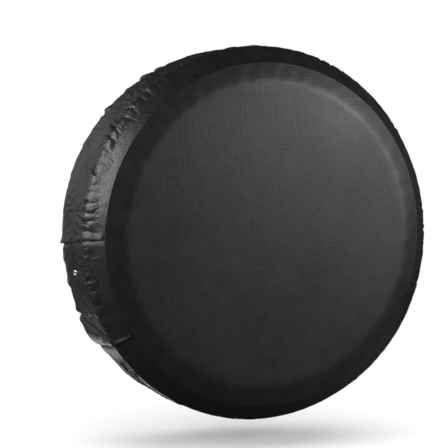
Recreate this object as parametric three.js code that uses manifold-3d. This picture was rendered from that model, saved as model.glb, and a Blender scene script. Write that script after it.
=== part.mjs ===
// A soft spare wheel cover: a leatherette face disc, a puckered strip over the tyre's shoulder, a skirt
// over the tread and the back of the tyre, and a corded elastic hem with a cord lock.
// Millimetres. The origin is the wheel's centre, +Y points out of the cover's mouth, +Z is up.
import * as THREE from 'three';
import { mergeVertices } from 'three/addons/utils/BufferGeometryUtils.js';
import Module from 'manifold-3d';

// Driving dimensions of the cover
const FABRIC = 1.5;
const GAP = 0.3;
const CROWN_RADIUS = 370;
const CROWN_HALF_WIDTH = 76;
const FACE_Y = -121;
const FACE_FLAT_RADIUS = 292;
const SHOULDER_RADIUS = 337;
const SHOULDER_Y = 112;
const REAR_BULGE_RADIUS = 300;
const REAR_BULGE_Y = 118.5;
const SEAM_Y = -74;
const SEAM_FLAT = 3;
const CLOSING_SEAM_ANGLE = 177;
const TAPE_WIDTH = 12;
const TAPE_THICKNESS = 1;
const TAPE_DROP = 1.4;
const EDGE_STEP = 0.3;
const THREAD = 0.8;
const STITCH_OFFSET = 4;

// Driving dimensions of the hem, its cord and the eyelets
const MOUTH_RADIUS = 220;
const HEM_RADIUS = 250;
const HEM_Y = 111;
const HEM_HALF_DEPTH = 3.5;
const HEM_FABRIC = 1;
const CORD_RADIUS = 1.5;
const CORD_RING_RADIUS = 231;
const CORD_EYELET_X = 9.5;
const CORD_EYELET_Z = -231.5;
const DRAIN_EYELET_ANGLE = -6;
const DRAIN_EYELET_Y = -6;
const DRAIN_BARREL = 3.2;
const DRAIN_FLANGE = 5.5;

// Driving dimensions of the cord lock; its button travels along X
const LOCK_Y = 126.5;
const LOCK_Z = -262;
const LOCK_RADIUS = 7;
const LOCK_CLOSED_END = -12.6;
const LOCK_OPEN_END = 8.6;
const LOCK_WALL = 1.4;
const BUTTON_RADIUS = 5.8;
const BUTTON_INNER_END = -5.6;
const BUTTON_TRAVEL = 3;
const LEG_X = 1.8;
const SPRING_RADIUS = 4.4;
const SPRING_WIRE = 0.25;
const SPRING_TURNS = 3;

// Every turned shell has the same facets, so that shells nest with an even gap. The half-step start
// puts the closing seam on a facet's edge and the eyelets at a facet's middle.
const RING_SEGMENTS = 60;
const RING_START = Math.PI / RING_SEGMENTS;
const FACET_RADIUS = CROWN_RADIUS * Math.cos(Math.PI / RING_SEGMENTS);
const SMALL_SEGMENTS = 20;

const LEATHERETTE = { color: 0x2b2c2e, roughness: 0.5, metalness: 0 };
const TAPE = { color: 0x1b1b1c, roughness: 0.9, metalness: 0 };
const SEWING_THREAD = { color: 0x3a3a3c, roughness: 0.7, metalness: 0 };
const CORD = { color: 0x161617, roughness: 0.85, metalness: 0 };
const NICKEL = { color: 0xc8c8c6, roughness: 0.25, metalness: 1 };
const PLASTIC = { color: 0x1a1a1b, roughness: 0.45, metalness: 0 };
const STEEL = { color: 0xa8a8a8, roughness: 0.3, metalness: 1 };

const wasm = await Module();
wasm.setup();

const radians = THREE.MathUtils.degToRad;

function toSolid(geometry) {
  const bare = geometry.clone();
  bare.deleteAttribute('normal');
  bare.deleteAttribute('uv');
  const merged = mergeVertices(bare, 1e-4);
  return new wasm.Manifold(new wasm.Mesh({
    numProp: 3,
    vertProperties: new Float32Array(merged.attributes.position.array),
    triVerts: new Uint32Array(merged.index.array),
  }));
}

function toGeometry(solid) {
  const mesh = solid.getMesh();
  const geometry = new THREE.BufferGeometry();
  geometry.setAttribute('position', new THREE.BufferAttribute(mesh.vertProperties, 3));
  geometry.setIndex(new THREE.BufferAttribute(mesh.triVerts, 1));
  return geometry;
}

function cut(geometry, tools) {
  return toGeometry(tools.reduce((solid, tool) => solid.subtract(toSolid(tool)), toSolid(geometry)));
}

function common(geometry, tool) {
  return toGeometry(toSolid(geometry).intersect(toSolid(tool)));
}

/** A polyline of [radius, y] points moved sideways by a distance; positive is to its left. */
function offsetLine(line, distance) {
  const point = (pair) => new THREE.Vector2(pair[0], pair[1]);
  return line.map((pair, i) => {
    const before = point(line[Math.max(i - 1, 0)]);
    const after = point(line[Math.min(i + 1, line.length - 1)]);
    const here = point(pair);
    const into = here.clone().sub(before).normalize();
    const out = after.sub(here).normalize();
    const first = into.length() ? into : out;
    const last = out.length() ? out : into;
    const normal = new THREE.Vector2(-first.y - last.y, first.x + last.x).normalize();
    const mitre = normal.dot(new THREE.Vector2(-first.y, first.x));
    return [pair[0] + normal.x * distance / mitre, pair[1] + normal.y * distance / mitre];
  });
}

/** A body turned about Y from a counter-clockwise outline of [radius, y] points. */
function turned(outline, segments = RING_SEGMENTS, start = RING_START) {
  const onAxis = outline[0][0] === 0;
  const closed = onAxis ? outline : [...outline, outline[0]];
  const points = closed.map(([radius, y]) => new THREE.Vector2(radius, y));
  return new THREE.LatheGeometry(points, segments, start);
}

/** A turned shell between two offsets of one profile, both measured inwards from its outer side. */
function shell(profile, outer, inner) {
  return turned([...offsetLine(profile, outer), ...offsetLine(profile, inner).reverse()]);
}

/** A bar along the radius at one polar angle, lying beside that radius by sideways. */
function radialBar(angle, width, sideways) {
  const bar = new THREE.BoxGeometry(CROWN_RADIUS, CROWN_RADIUS, width);
  bar.translate(CROWN_RADIUS, 0, sideways);
  bar.rotateY(-angle);
  return bar;
}

/** A cylinder whose axis is a line through a point. */
function drill(radius, length, position, direction) {
  const tool = new THREE.CylinderGeometry(radius, radius, length, SMALL_SEGMENTS);
  tool.applyQuaternion(new THREE.Quaternion().setFromUnitVectors(new THREE.Vector3(0, 1, 0), direction));
  tool.translate(position.x, position.y, position.z);
  return tool;
}

/** A tube with a round-ish section along a curve whose own points set its steps. */
function tube(curve, radius, sides, steps) {
  const corners = Array.from({ length: sides }, (_, i) => {
    const turn = (2 * Math.PI * i) / sides;
    return new THREE.Vector2(radius * Math.cos(turn), radius * Math.sin(turn));
  });
  return new THREE.ExtrudeGeometry(new THREE.Shape(corners), { steps, extrudePath: curve });
}

/** A smooth curve through points chosen by hand; one step of a tube runs from each to the next. */
class HandSpacedCurve extends THREE.CatmullRomCurve3 {
  getUtoTmapping(u) {
    return u;
  }
}

class HelixCurve extends THREE.Curve {
  getPoint(t, target = new THREE.Vector3()) {
    const turn = 2 * Math.PI * SPRING_TURNS * t;
    const along = THREE.MathUtils.lerp(SPRING_START, SPRING_END, t);
    return target.set(along, SPRING_RADIUS * Math.cos(turn), SPRING_RADIUS * Math.sin(turn));
  }
}

const cover = new THREE.Group();

function addPart(parent, name, geometry, look) {
  const mesh = new THREE.Mesh(geometry, new THREE.MeshStandardMaterial(look));
  mesh.name = name;
  parent.add(mesh);
  return mesh;
}

// The outer profile, from the middle of the face round the tread to the hem. A panel's edge at a seam
// stops half a gap short of it.
const SHOULDER_CURVE = [[352, 102.5], [363.5, 91]];
const mirrorPoint = ([radius, y]) => [radius, -y];
const shoulderEdge = [SHOULDER_RADIUS, -SHOULDER_Y];
const faceProfile = [
  [0, FACE_Y],
  [FACE_FLAT_RADIUS, FACE_Y],
  [318, -118.5],
  [SHOULDER_RADIUS - EDGE_STEP, -SHOULDER_Y - EDGE_STEP / 3],
];
const stripProfile = [
  [SHOULDER_RADIUS + EDGE_STEP, -SHOULDER_Y + 2 * EDGE_STEP / 3],
  ...SHOULDER_CURVE.map(mirrorPoint),
  [CROWN_RADIUS, SEAM_Y - SEAM_FLAT],
  [CROWN_RADIUS, SEAM_Y - GAP / 2],
];
const rearProfile = [
  [CROWN_RADIUS, CROWN_HALF_WIDTH],
  ...SHOULDER_CURVE.toReversed(),
  [SHOULDER_RADIUS, SHOULDER_Y],
  [REAR_BULGE_RADIUS, REAR_BULGE_Y],
  [262, 114],
];
const skirtProfile = [
  [CROWN_RADIUS, SEAM_Y + GAP / 2],
  ...rearProfile,
  [HEM_RADIUS, HEM_Y + FABRIC / 2],
  [239, HEM_Y + FABRIC / 2],
];

// Face panel: a disc, flat in the middle and sloping back over the tyre's sidewall to the shoulder edge
addPart(cover, 'face_panel', shell(faceProfile, 0, FABRIC), LEATHERETTE);

// Front strip and rear skirt: two strips sewn side by side, then closed into a loop by one cross seam
const closing = radians(CLOSING_SEAM_ANGLE);
const closingSlit = radialBar(closing, GAP, 0);
addPart(cover, 'front_strip', cut(shell(stripProfile, 0, FABRIC), [closingSlit]), LEATHERETTE);
const drainEyelets = [['right', radians(DRAIN_EYELET_ANGLE)], ['left', Math.PI - radians(DRAIN_EYELET_ANGLE)]]
  .map(([side, angle]) => {
    const direction = new THREE.Vector3(Math.cos(angle), 0, Math.sin(angle));
    const place = direction.clone().multiplyScalar(FACET_RADIUS).setY(DRAIN_EYELET_Y);
    return { side, direction, place };
  });
const drainHoles = drainEyelets.map(({ direction, place }) => (
  drill(DRAIN_BARREL + GAP, 8 * FABRIC, place, direction)));
addPart(cover, 'rear_skirt', cut(shell(skirtProfile, 0, FABRIC), [closingSlit, ...drainHoles]), LEATHERETTE);

// Edge binding: a folded tape round the seam allowance behind the shoulder edge
const bindingSection = [[322, -114], [331, -110.5], [331, -107], [322, -109.5]];
addPart(cover, 'edge_binding', turned(bindingSection), TAPE);

// Seam tape: a woven tape inside the seam between the strip and the skirt
const tapeOuter = FABRIC + GAP;
const tapeInner = tapeOuter + TAPE_THICKNESS;
const seamTapeProfile = [
  [CROWN_RADIUS - TAPE_DROP, SEAM_Y - TAPE_WIDTH / 2],
  [CROWN_RADIUS, SEAM_Y - SEAM_FLAT],
  [CROWN_RADIUS, SEAM_Y + TAPE_WIDTH / 2],
];
addPart(cover, 'seam_tape', shell(seamTapeProfile, tapeOuter, tapeInner), TAPE);

// Topstitching: a row of thread on each side of that seam
function threadRing(profile) {
  return shell(profile, -GAP - THREAD, -GAP);
}
const frontRow = [[CROWN_RADIUS, SEAM_Y - SEAM_FLAT + THREAD], [CROWN_RADIUS, SEAM_Y - SEAM_FLAT + 2 * THREAD]];
const rearRow = [[CROWN_RADIUS, SEAM_Y + SEAM_FLAT - THREAD], [CROWN_RADIUS, SEAM_Y + SEAM_FLAT]];
addPart(cover, 'topstitch_front', threadRing(frontRow), SEWING_THREAD);
addPart(cover, 'topstitch_rear', threadRing(rearRow), SEWING_THREAD);

// Closing seam: a tape inside the skirt's cross seam, and the row of thread that shows on the tape
const closingLine = [[CROWN_RADIUS, SEAM_Y + TAPE_WIDTH], ...rearProfile];
const closingTape = shell(closingLine, tapeOuter, tapeInner);
const threadNear = tapeInner + GAP;
const closingThread = shell(closingLine, threadNear, threadNear + THREAD);
addPart(cover, 'closing_tape', common(closingTape, radialBar(closing, TAPE_WIDTH, 0)), TAPE);
addPart(cover, 'closing_stitch', common(closingThread, radialBar(closing, THREAD, STITCH_OFFSET)), SEWING_THREAD);

// Hem casing: a binding folded round the band's edge, open to it, with two holes for the cord
const hemRear = HEM_Y + HEM_HALF_DEPTH;
const hemFront = HEM_Y - HEM_HALF_DEPTH;
const FOLD = 3;
const hemOutline = [
  [HEM_RADIUS, hemRear],
  [MOUTH_RADIUS + FOLD, hemRear],
  [MOUTH_RADIUS, HEM_Y + 1.5],
  [MOUTH_RADIUS, HEM_Y - 1.5],
  [MOUTH_RADIUS + FOLD, hemFront],
  [HEM_RADIUS, hemFront],
  [HEM_RADIUS, hemFront + HEM_FABRIC],
  [MOUTH_RADIUS + FOLD + 0.4, hemFront + HEM_FABRIC],
  [MOUTH_RADIUS + HEM_FABRIC, HEM_Y - 1],
  [MOUTH_RADIUS + HEM_FABRIC, HEM_Y + 1],
  [MOUTH_RADIUS + FOLD + 0.4, hemRear - HEM_FABRIC],
  [HEM_RADIUS, hemRear - HEM_FABRIC],
];
const CORD_BARREL = 3.9;
const outOfMouth = new THREE.Vector3(0, 1, 0);
const cordExits = [['right', 1], ['left', -1]].map(([side, sign]) => (
  { side, place: new THREE.Vector3(sign * CORD_EYELET_X, hemRear, CORD_EYELET_Z) }));
const cordHoles = cordExits.map(({ place }) => drill(CORD_BARREL + GAP, 4 * HEM_FABRIC, place, outOfMouth));
addPart(cover, 'hem_casing', cut(turned(hemOutline), cordHoles), LEATHERETTE);
const hemRow = [[HEM_RADIUS - STITCH_OFFSET, hemRear], [HEM_RADIUS - STITCH_OFFSET - THREAD, hemRear]];
addPart(cover, 'hem_stitch', threadRing(hemRow), SEWING_THREAD);

// Eyelets: a rolled flange outside and a barrel through the fabric
function eyelet(bore, barrel, flange, depth) {
  const rim = 0.7;
  return turned([
    [bore, -depth],
    [barrel, -depth],
    [barrel, GAP],
    [flange, GAP],
    [flange, GAP + rim / 2],
    [flange - rim / 2, GAP + rim],
    [bore + rim / 2, GAP + rim],
    [bore, GAP + rim / 2],
  ], SMALL_SEGMENTS, 0);
}
function placeAlong(mesh, place, direction) {
  mesh.position.copy(place);
  mesh.quaternion.setFromUnitVectors(new THREE.Vector3(0, 1, 0), direction);
}
for (const { side, place } of cordExits) {
  const ring = addPart(cover, `cord_eyelet_${side}`, eyelet(3.2, CORD_BARREL, 6, 1.3), NICKEL);
  placeAlong(ring, place, outOfMouth);
}
const washerNear = -FABRIC - GAP;
const washer = turned([
  [DRAIN_BARREL + GAP, washerNear - 0.5],
  [DRAIN_FLANGE, washerNear - 0.5],
  [DRAIN_FLANGE, washerNear],
  [DRAIN_BARREL + GAP, washerNear],
], SMALL_SEGMENTS, 0);
for (const { side, direction, place } of drainEyelets) {
  const ring = addPart(cover, `drain_eyelet_${side}`, eyelet(2.6, DRAIN_BARREL, DRAIN_FLANGE, 2.6), NICKEL);
  placeAlong(ring, place, direction);
  placeAlong(addPart(cover, `drain_washer_${side}`, washer, NICKEL), place, direction);
}

// Hem elastic: one cord round the hem, out through both eyelets and down through the cord lock in a bight
const RING_STEP = 7.2;
const ringPoints = Array.from({ length: 24 }, (_, i) => {
  const turn = radians(0.15 + i * RING_STEP);
  return [CORD_RING_RADIUS * Math.sin(turn), HEM_Y, CORD_RING_RADIUS * Math.cos(turn)];
});
const loopPoints = [
  [20, HEM_Y, -230.3],
  [14.5, HEM_Y, -230.9],
  [12, 111.4, -231.2],
  [10.3, 112.7, -231.4],
  [9.6, 114.8, -231.5],
  [9.3, 117.4, -231.8],
  [8.9, 120.6, -233.4],
  [7.9, 123.6, -237],
  [6, 125.6, -242.5],
  [3.6, 126.4, -248.5],
  [2.1, LOCK_Y, -252.8],
  [LEG_X, LOCK_Y, -255],
  [LEG_X, LOCK_Y, -273],
  [LEG_X, LOCK_Y, -291],
  [2.6, LOCK_Y, -296],
  [4.8, LOCK_Y, -302],
  [6, LOCK_Y, -308],
  [5.2, LOCK_Y, -313],
  [2.9, LOCK_Y, -316.6],
];
const halfCord = [...ringPoints, ...loopPoints];
const otherHalf = halfCord.map(([x, y, z]) => [-x, y, z]).reverse();
const cordPoints = [...halfCord, [0, LOCK_Y, -317.8], ...otherHalf].map((p) => new THREE.Vector3(...p));
const cordCurve = new HandSpacedCurve(cordPoints);
addPart(cover, 'hem_elastic', tube(cordCurve, CORD_RADIUS, 6, cordPoints.length - 1), CORD);

// Ferrule: the crimp that joins the cord's two ends at the top of the hem
const ferrule = turned([[1.75, -5], [2.2, -5], [2.2, 5], [1.75, 5]], SMALL_SEGMENTS, 0);
const ferruleMesh = addPart(cover, 'elastic_ferrule', ferrule, STEEL);
placeAlong(ferruleMesh, new THREE.Vector3(0, HEM_Y, CORD_RING_RADIUS), new THREE.Vector3(1, 0, 0));

// Cord lock: a barrel that slides on the two cord legs, a sprung button across it, and its spring
const cordLock = new THREE.Group();
cordLock.position.set(0, LOCK_Y, LOCK_Z);
cover.add(cordLock);

/** A long hole for both legs, through the lock along Z. */
function legSlot(fromX, toX) {
  const halfWidth = CORD_RADIUS + GAP;
  const outline = new THREE.Shape();
  outline.absarc(toX - halfWidth, 0, halfWidth, -Math.PI / 2, Math.PI / 2, false);
  outline.absarc(fromX + halfWidth, 0, halfWidth, Math.PI / 2, 1.5 * Math.PI, false);
  const depth = 4 * LOCK_RADIUS;
  const slot = new THREE.ExtrudeGeometry(outline, { depth, bevelEnabled: false, curveSegments: 6 });
  slot.translate(0, 0, -depth / 2);
  return slot;
}
function turnedAlongX(outline) {
  return turned(outline, SMALL_SEGMENTS, 0).rotateZ(-Math.PI / 2);
}
const legReach = LEG_X + CORD_RADIUS + GAP;
const lockBore = BUTTON_RADIUS + GAP;
const barrel = turnedAlongX([
  [0, LOCK_CLOSED_END],
  [LOCK_RADIUS - 1, LOCK_CLOSED_END],
  [LOCK_RADIUS, LOCK_CLOSED_END + 1],
  [LOCK_RADIUS, LOCK_OPEN_END - 0.5],
  [LOCK_RADIUS - 0.4, LOCK_OPEN_END],
  [lockBore, LOCK_OPEN_END],
  [lockBore, LOCK_CLOSED_END + LOCK_WALL],
  [0, LOCK_CLOSED_END + LOCK_WALL],
]);
addPart(cordLock, 'cord_lock_body', cut(barrel, [legSlot(-legReach, legReach)]), PLASTIC);

const capNear = LOCK_OPEN_END + BUTTON_TRAVEL + GAP;
const button = turnedAlongX([
  [0, BUTTON_INNER_END],
  [BUTTON_RADIUS, BUTTON_INNER_END],
  [BUTTON_RADIUS, capNear],
  [LOCK_RADIUS - 0.2, capNear],
  [LOCK_RADIUS - 0.2, capNear + 2.2],
  [LOCK_RADIUS - 1.2, capNear + 3.1],
  [0, capNear + 3.4],
]);
addPart(cordLock, 'cord_lock_button', cut(button, [legSlot(-legReach, legReach + BUTTON_TRAVEL)]), PLASTIC);

const SPRING_START = LOCK_CLOSED_END + LOCK_WALL + GAP + SPRING_WIRE;
const SPRING_END = BUTTON_INNER_END - GAP - SPRING_WIRE;
const springSteps = SPRING_TURNS * 12;
addPart(cordLock, 'cord_lock_spring', tube(new HelixCurve(), SPRING_WIRE, 5, springSteps), STEEL);

export default cover;
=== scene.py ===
"""Looks of the spare tyre cover: puckered leatherette, seams, stitches, hem, eyelets and cord lock.

Everything is in the CAD's frame: the origin is the wheel's centre, the face looks along -Y, +Z is up.
Names that end in _MM, the profile lines and the folds of the cloth are in millimetres. The finished
meshes are in metres. A polar angle goes round the wheel's axis from +X towards +Z, in degrees, so that
180 is the left side seen from the front. A place is a distance along the cloth from the front seam:
negative on the strip in front of the seam, positive on the skirt behind it.
"""
import math

import bmesh
import bpy
import numpy as np
from mathutils import Matrix, Vector


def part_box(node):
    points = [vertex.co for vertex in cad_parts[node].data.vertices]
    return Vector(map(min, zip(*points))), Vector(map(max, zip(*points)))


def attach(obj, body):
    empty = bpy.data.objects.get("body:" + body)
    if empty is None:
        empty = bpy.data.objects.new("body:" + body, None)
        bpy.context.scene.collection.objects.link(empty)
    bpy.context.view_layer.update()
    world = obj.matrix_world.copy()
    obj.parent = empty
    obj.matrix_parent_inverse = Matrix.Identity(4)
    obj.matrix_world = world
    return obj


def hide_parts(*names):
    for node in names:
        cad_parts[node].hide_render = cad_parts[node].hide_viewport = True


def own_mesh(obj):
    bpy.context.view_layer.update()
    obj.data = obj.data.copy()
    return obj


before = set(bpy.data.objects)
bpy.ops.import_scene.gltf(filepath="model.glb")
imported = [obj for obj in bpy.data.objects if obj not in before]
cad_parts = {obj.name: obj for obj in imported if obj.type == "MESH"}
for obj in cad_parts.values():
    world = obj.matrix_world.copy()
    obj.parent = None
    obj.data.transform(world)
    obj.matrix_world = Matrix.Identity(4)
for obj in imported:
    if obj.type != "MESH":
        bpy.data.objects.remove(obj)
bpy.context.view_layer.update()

MM = 0.001

# Profile lines as radius and y, from the middle of the face to the hem
FACE_LINE = [
    (0, -123.4), (150, -123.4), (262, -123.4), (286, -123.4), (296, -123.2), (302, -122.5),
    (308, -121), (315, -118.7), (323, -115.8), (331, -112.8), (336.9, -110.6),
]
STRIP_LINE = [
    (337.1, -110.5), (342.6, -104.8), (348.7, -98.2), (354.8, -91.6), (360.7, -84.9),
    (365.9, -78.8), (369.9, -74),
]
SKIRT_LINE = [
    (370, -74), (370.4, -50), (370.2, -10), (369.2, 30), (367, 58), (363.2, 76), (356.6, 90),
    (346.5, 101.8), (332.5, 110.8), (317, 115.6), (300, 117.6), (282, 117.2), (264, 115.2),
    (250, 112.6), (239, 111.9),
]
# The hem casing: a binding folded round the hem's edge
HEM_LINE = [
    (250, 114.3), (244, 114.5), (236, 114.8), (228, 114.7), (222.8, 113.7), (220.6, 111),
    (222.8, 108.3), (228, 107.3), (236, 107.2), (244, 107.5), (250, 107.7),
]
# The tapes inside the front edge and inside the front seam
BINDING_LINE = [(321, -111.4), (330.2, -108.9), (331.6, -108), (330.2, -107.1), (321, -109.3)]
SEAM_TAPE_LINE = [(364.3, -80.2), (366.2, -76.8), (367.2, -73.6), (367.9, -68)]
CROWN_MM = 370
ARC_MM = CROWN_MM * math.pi / 180

# The closing seam's angle, and how many degrees it leans per millimetre of depth
CLOSING_ANGLE = 176.7
CLOSING_LEAN = 0.017
EYELET_ANGLE = 186
EYELET_PLACE = 68
DRAIN_ANGLES = (EYELET_ANGLE, 180 - EYELET_ANGLE)
LOCK_ANGLE = 270

CLOTH_MM = 0.9
CASING_MM = 0.7
TAPE_MM = 0.5
DRAIN_HOLE_MM = 2.9
CORD_HOLE_MM = 3.6

# The camera's azimuth, elevation and roll, and its lens
SIGHT = tuple(math.radians(a) for a in (-23.9, 6.1, -4.4))
CAMERA_DISTANCE = 8 * CROWN_MM * MM
LENS_MM = 117.3
SENSOR_MM = 36
SHIFT_X = -0.0484
SHIFT_Y = 0.0167

# The floor turns about the line of sight, so that the shadow lies level in the picture
FLOOR_TILT = math.radians(-7)
FLOOR_RADIUS = 2.2
FLOOR_DROP = 0.425
FLOOR_FADE = (0.45, 1.4)
FLOOR_GLOW = 0.3
OVERHEAD_LIFT = 3.06
WORLD_LIGHT = 0.03


# ---------------------------------------------------------------- helpers

def smooth(low, high, x):
    t = np.clip((x - low) / (high - low), 0, 1)
    return t * t * (3 - 2 * t)


def bell(x, width):
    return np.exp(-(x / width) ** 2)


def crest(x, before, after):
    """A ridge that rises over one width and drops over the other."""
    return np.where(x < 0, bell(x, before), bell(x, after))


def nearest_turn(degrees):
    """An angle or an angle difference brought between -180 and 180."""
    return (degrees + 180) % 360 - 180


def through(points, spacing):
    """A smooth line through points at an even spacing, with each sample's distance along it."""
    p = np.array(points, float)
    ends = np.vstack([2 * p[0] - p[1], p, 2 * p[-1] - p[-2]])
    t = np.linspace(0, 1, 40, endpoint=False)[:, None]
    parts = [
        0.5 * (2 * b + (c - a) * t + (2 * a - 5 * b + 4 * c - d) * t**2
               + (3 * b - a - 3 * c + d) * t**3)
        for a, b, c, d in zip(ends, ends[1:], ends[2:], ends[3:])
    ]
    fine = np.vstack([*parts, p[-1:]])
    along = np.concatenate([[0], np.cumsum(np.linalg.norm(np.diff(fine, axis=0), axis=1))])
    want = np.linspace(0, along[-1], max(2, round(along[-1] / spacing) + 1))
    line = np.column_stack([np.interp(want, along, fine[:, k]) for k in range(p.shape[1])])
    return line, want


class Panel:
    """A turned stretch of cloth: rows along its profile, and columns round the wheel.

    off is how far each point stands off the smooth band, outwards.
    """

    def __init__(self, line, spacing, columns, ends_at_seam=False):
        self.profile, along = through(line, spacing)
        self.place = (along - (along[-1] if ends_at_seam else 0))[:, None]
        tangent = np.gradient(self.profile, axis=0)
        tangent /= np.linalg.norm(tangent, axis=1)[:, None]
        self.normal = np.column_stack([tangent[:, 1], -tangent[:, 0]])
        self.first = CLOSING_ANGLE + CLOSING_LEAN * self.profile[:, 1]
        self.turn = np.linspace(0, 360, columns + 1)
        self.theta = self.first[:, None] + self.turn
        self.off = np.zeros((len(along), columns + 1))

    def arc(self, angle):
        """Distance round the crown from an angle, in millimetres; positive goes down the left side."""
        return nearest_turn(self.theta - angle) * ARC_MM

    def near(self, angle, reach):
        """The columns within reach of an angle."""
        return np.abs(nearest_turn(self.theta[0] - angle)) * ARC_MM < reach

    def wrinkle(self, angle, place, length, width, height, heading=0.0):
        """A long soft swell across the band, turned by heading; a negative height makes a dent."""
        columns = self.near(angle, 1.6 * length + 4 * width + 12)
        u = nearest_turn(self.theta[:, columns] - angle) * ARC_MM
        v = self.place - place
        c = math.cos(math.radians(heading))
        s = math.sin(math.radians(heading))
        self.off[:, columns] += height * bell(c * u - s * v, width) * bell(c * v + s * u, length / 2)

    def pinch(self, angle, start, length, depth, width, lean):
        """A sharp fold from start for length, deepest near its start, with a lip along each side."""
        columns = self.near(angle, 60)
        t = (self.place - start) / length
        across = nearest_turn(self.theta[:, columns] - angle) * ARC_MM - lean * t
        fade = smooth(-0.12, 0.05, t) * (1 - smooth(0.35, 1.0, t))
        lips = crest(across + 2.4 * width, 2.2 * width, 1.1 * width)
        lips = lips + 0.6 * bell(across - 2.6 * width, 1.6 * width)
        self.off[:, columns] += depth * fade * (0.5 * lips - np.exp(-np.abs(across) / width))

    def grid(self):
        radius = self.profile[:, :1] + self.off * self.normal[:, :1]
        y = self.profile[:, 1:] + self.off * self.normal[:, 1:]
        angle = np.radians(self.theta)
        return np.stack([radius * np.cos(angle), y, radius * np.sin(angle)], -1) * MM

    def at(self, angle, place, lift=0.0):
        """Points on the folded cloth, in metres, lifted along the smooth band's normal."""
        angle, place = np.broadcast_arrays(np.asarray(angle, float), np.asarray(place, float))
        row = np.interp(place, self.place[:, 0], np.arange(len(self.place)))
        first = np.interp(row, np.arange(len(self.first)), self.first)
        column = (angle - first) % 360 / 360 * (len(self.turn) - 1)
        i = np.minimum(row.astype(int), len(self.place) - 2)
        j = np.minimum(column.astype(int), len(self.turn) - 2)
        a = (row - i)[..., None]
        b = (column - j)[..., None]
        points = self.grid()
        flat = (1 - a) * ((1 - b) * points[i, j] + b * points[i, j + 1])
        flat = flat + a * ((1 - b) * points[i + 1, j] + b * points[i + 1, j + 1])
        return flat + lift * MM * self.outward(angle, place)

    def outward(self, angle, place):
        """The smooth band's normals at angles and places."""
        row = np.interp(place, self.place[:, 0], np.arange(len(self.place)))
        r = np.interp(row, np.arange(len(self.normal)), self.normal[:, 0])
        y = np.interp(row, np.arange(len(self.normal)), self.normal[:, 1])
        parts = r * np.cos(np.radians(angle)), y, r * np.sin(np.radians(angle))
        return np.stack(np.broadcast_arrays(*parts), -1)


def swell(panel, waves, turns, lengths, seed):
    """Soft uneven swell over a panel, about 1 high: few waves round the wheel and along the cloth."""
    random = np.random.default_rng(seed)
    total = np.zeros_like(panel.off)
    for _ in range(waves):
        round_wheel = random.integers(*turns)
        along = 2 * math.pi / random.uniform(*lengths) * random.choice([-1, 1])
        start = random.uniform(0, 2 * math.pi)
        total += np.cos(np.radians(panel.theta) * round_wheel + panel.place * along + start)
    return total / math.sqrt(waves)


def pillows(panel, distance, creases, near, peak, height, arch=2.3):
    """Rounded pillows between creases; distance is from the line that gathers the cloth."""
    angle, reach, lean, bend, strength = (np.concatenate([c[-1:], c, c[:1]]) for c in creases)
    angle[0] -= 360
    angle[-1] += 360
    rise = np.zeros_like(panel.off)
    for row, d in enumerate(distance[:, 0]):
        t = np.clip(d / reach, 0, 1)
        lines = angle + (lean * t + bend * np.sin(5 * t)) / ARC_MM
        fade = strength * (near + (1 - near) * smooth(0, peak, d)) * (1 - smooth(0.4, 1, t))
        theta = panel.theta[row] % 360
        k = np.clip(np.searchsorted(lines, theta), 1, len(lines) - 1)
        left = lines[k - 1]
        right = lines[k]
        gap = np.maximum(right - left, 0.4)
        s = np.clip((theta - left) / gap, 0, 1)
        size = np.clip(gap * ARC_MM / 20, 0.3, 1.6)
        dome = (1 - np.abs(2 * s - 1) ** arch) ** 0.8
        rise[row] = height * size * (fade[k - 1] + fade[k]) / 2 * dome
    return rise


# ---------------------------------------------------------------- the cloth's folds

# Creases that can be told apart on the left side of the strip; the others are spaced at random
SEEN_CREASES = [
    126, 129.2, 133, 136.6, 140.6, 143.4, 147, 149.6, 152.3, 155.1, 158.8, 161.2, 164.2, 167, 170,
    172.8, 175.4, 179.2, 182.4, 184.6, 187.6, 190.8, 195, 199.4,
]
# How strongly the strip is gathered round the wheel: angle, strength
GATHER = [
    (0, 0.3), (30, 0.5), (50, 0.4), (75, 0.55), (95, 0.8), (118, 0.8), (150, 0.75), (168, 1.0),
    (190, 1.15), (196, 0.6), (205, 0.4), (214, 0.3), (240, 0.25), (300, 0.2), (330, 0.35), (360, 0.3),
]
# Short dark folds that cross the seam onto the skirt: angle, length, depth, lean
CROSSING_FOLDS = [
    (112.5, 26, 2.8, -10), (126, 18, 2.0, 6), (133, 22, 2.6, 8), (140.6, 32, 4.4, -12),
    (143.6, 26, 3.2, -8), (155.1, 28, 3.8, -11), (164.2, 16, 2.0, 5), (170, 30, 4.2, -12),
    (187.6, 20, 2.6, 8), (64, 20, 3.0, 5), (60.5, 24, 3.6, -4), (56.5, 22, 3.0, 6), (30, 16, 2.4, 0),
    (2, 18, 3.0, 4), (355, 20, 3.2, -4), (338, 14, 1.8, 3),
]
# Long folds beside the crossing ones: angle, place, length, width, height, heading
SKIRT_FOLDS = [
    (136.5, 16, 26, 1.8, 1.6, 30), (138.3, 18, 22, 1.6, -1.4, 24), (134.6, 20, 30, 2.0, 1.3, 38),
    (143, 20, 34, 2.4, 1.2, -22), (157, 24, 32, 2.2, 1.4, -26), (158.5, 22, 30, 2.2, -1.3, -24),
    (171.6, 16, 30, 2.2, 1.4, -28), (173.4, 30, 40, 3, 1.2, -30), (165, 46, 60, 4, 1.1, -16),
    (151, 50, 60, 4, 1.0, 12), (147, 70, 70, 4, -1.0, 8),
]
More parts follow.
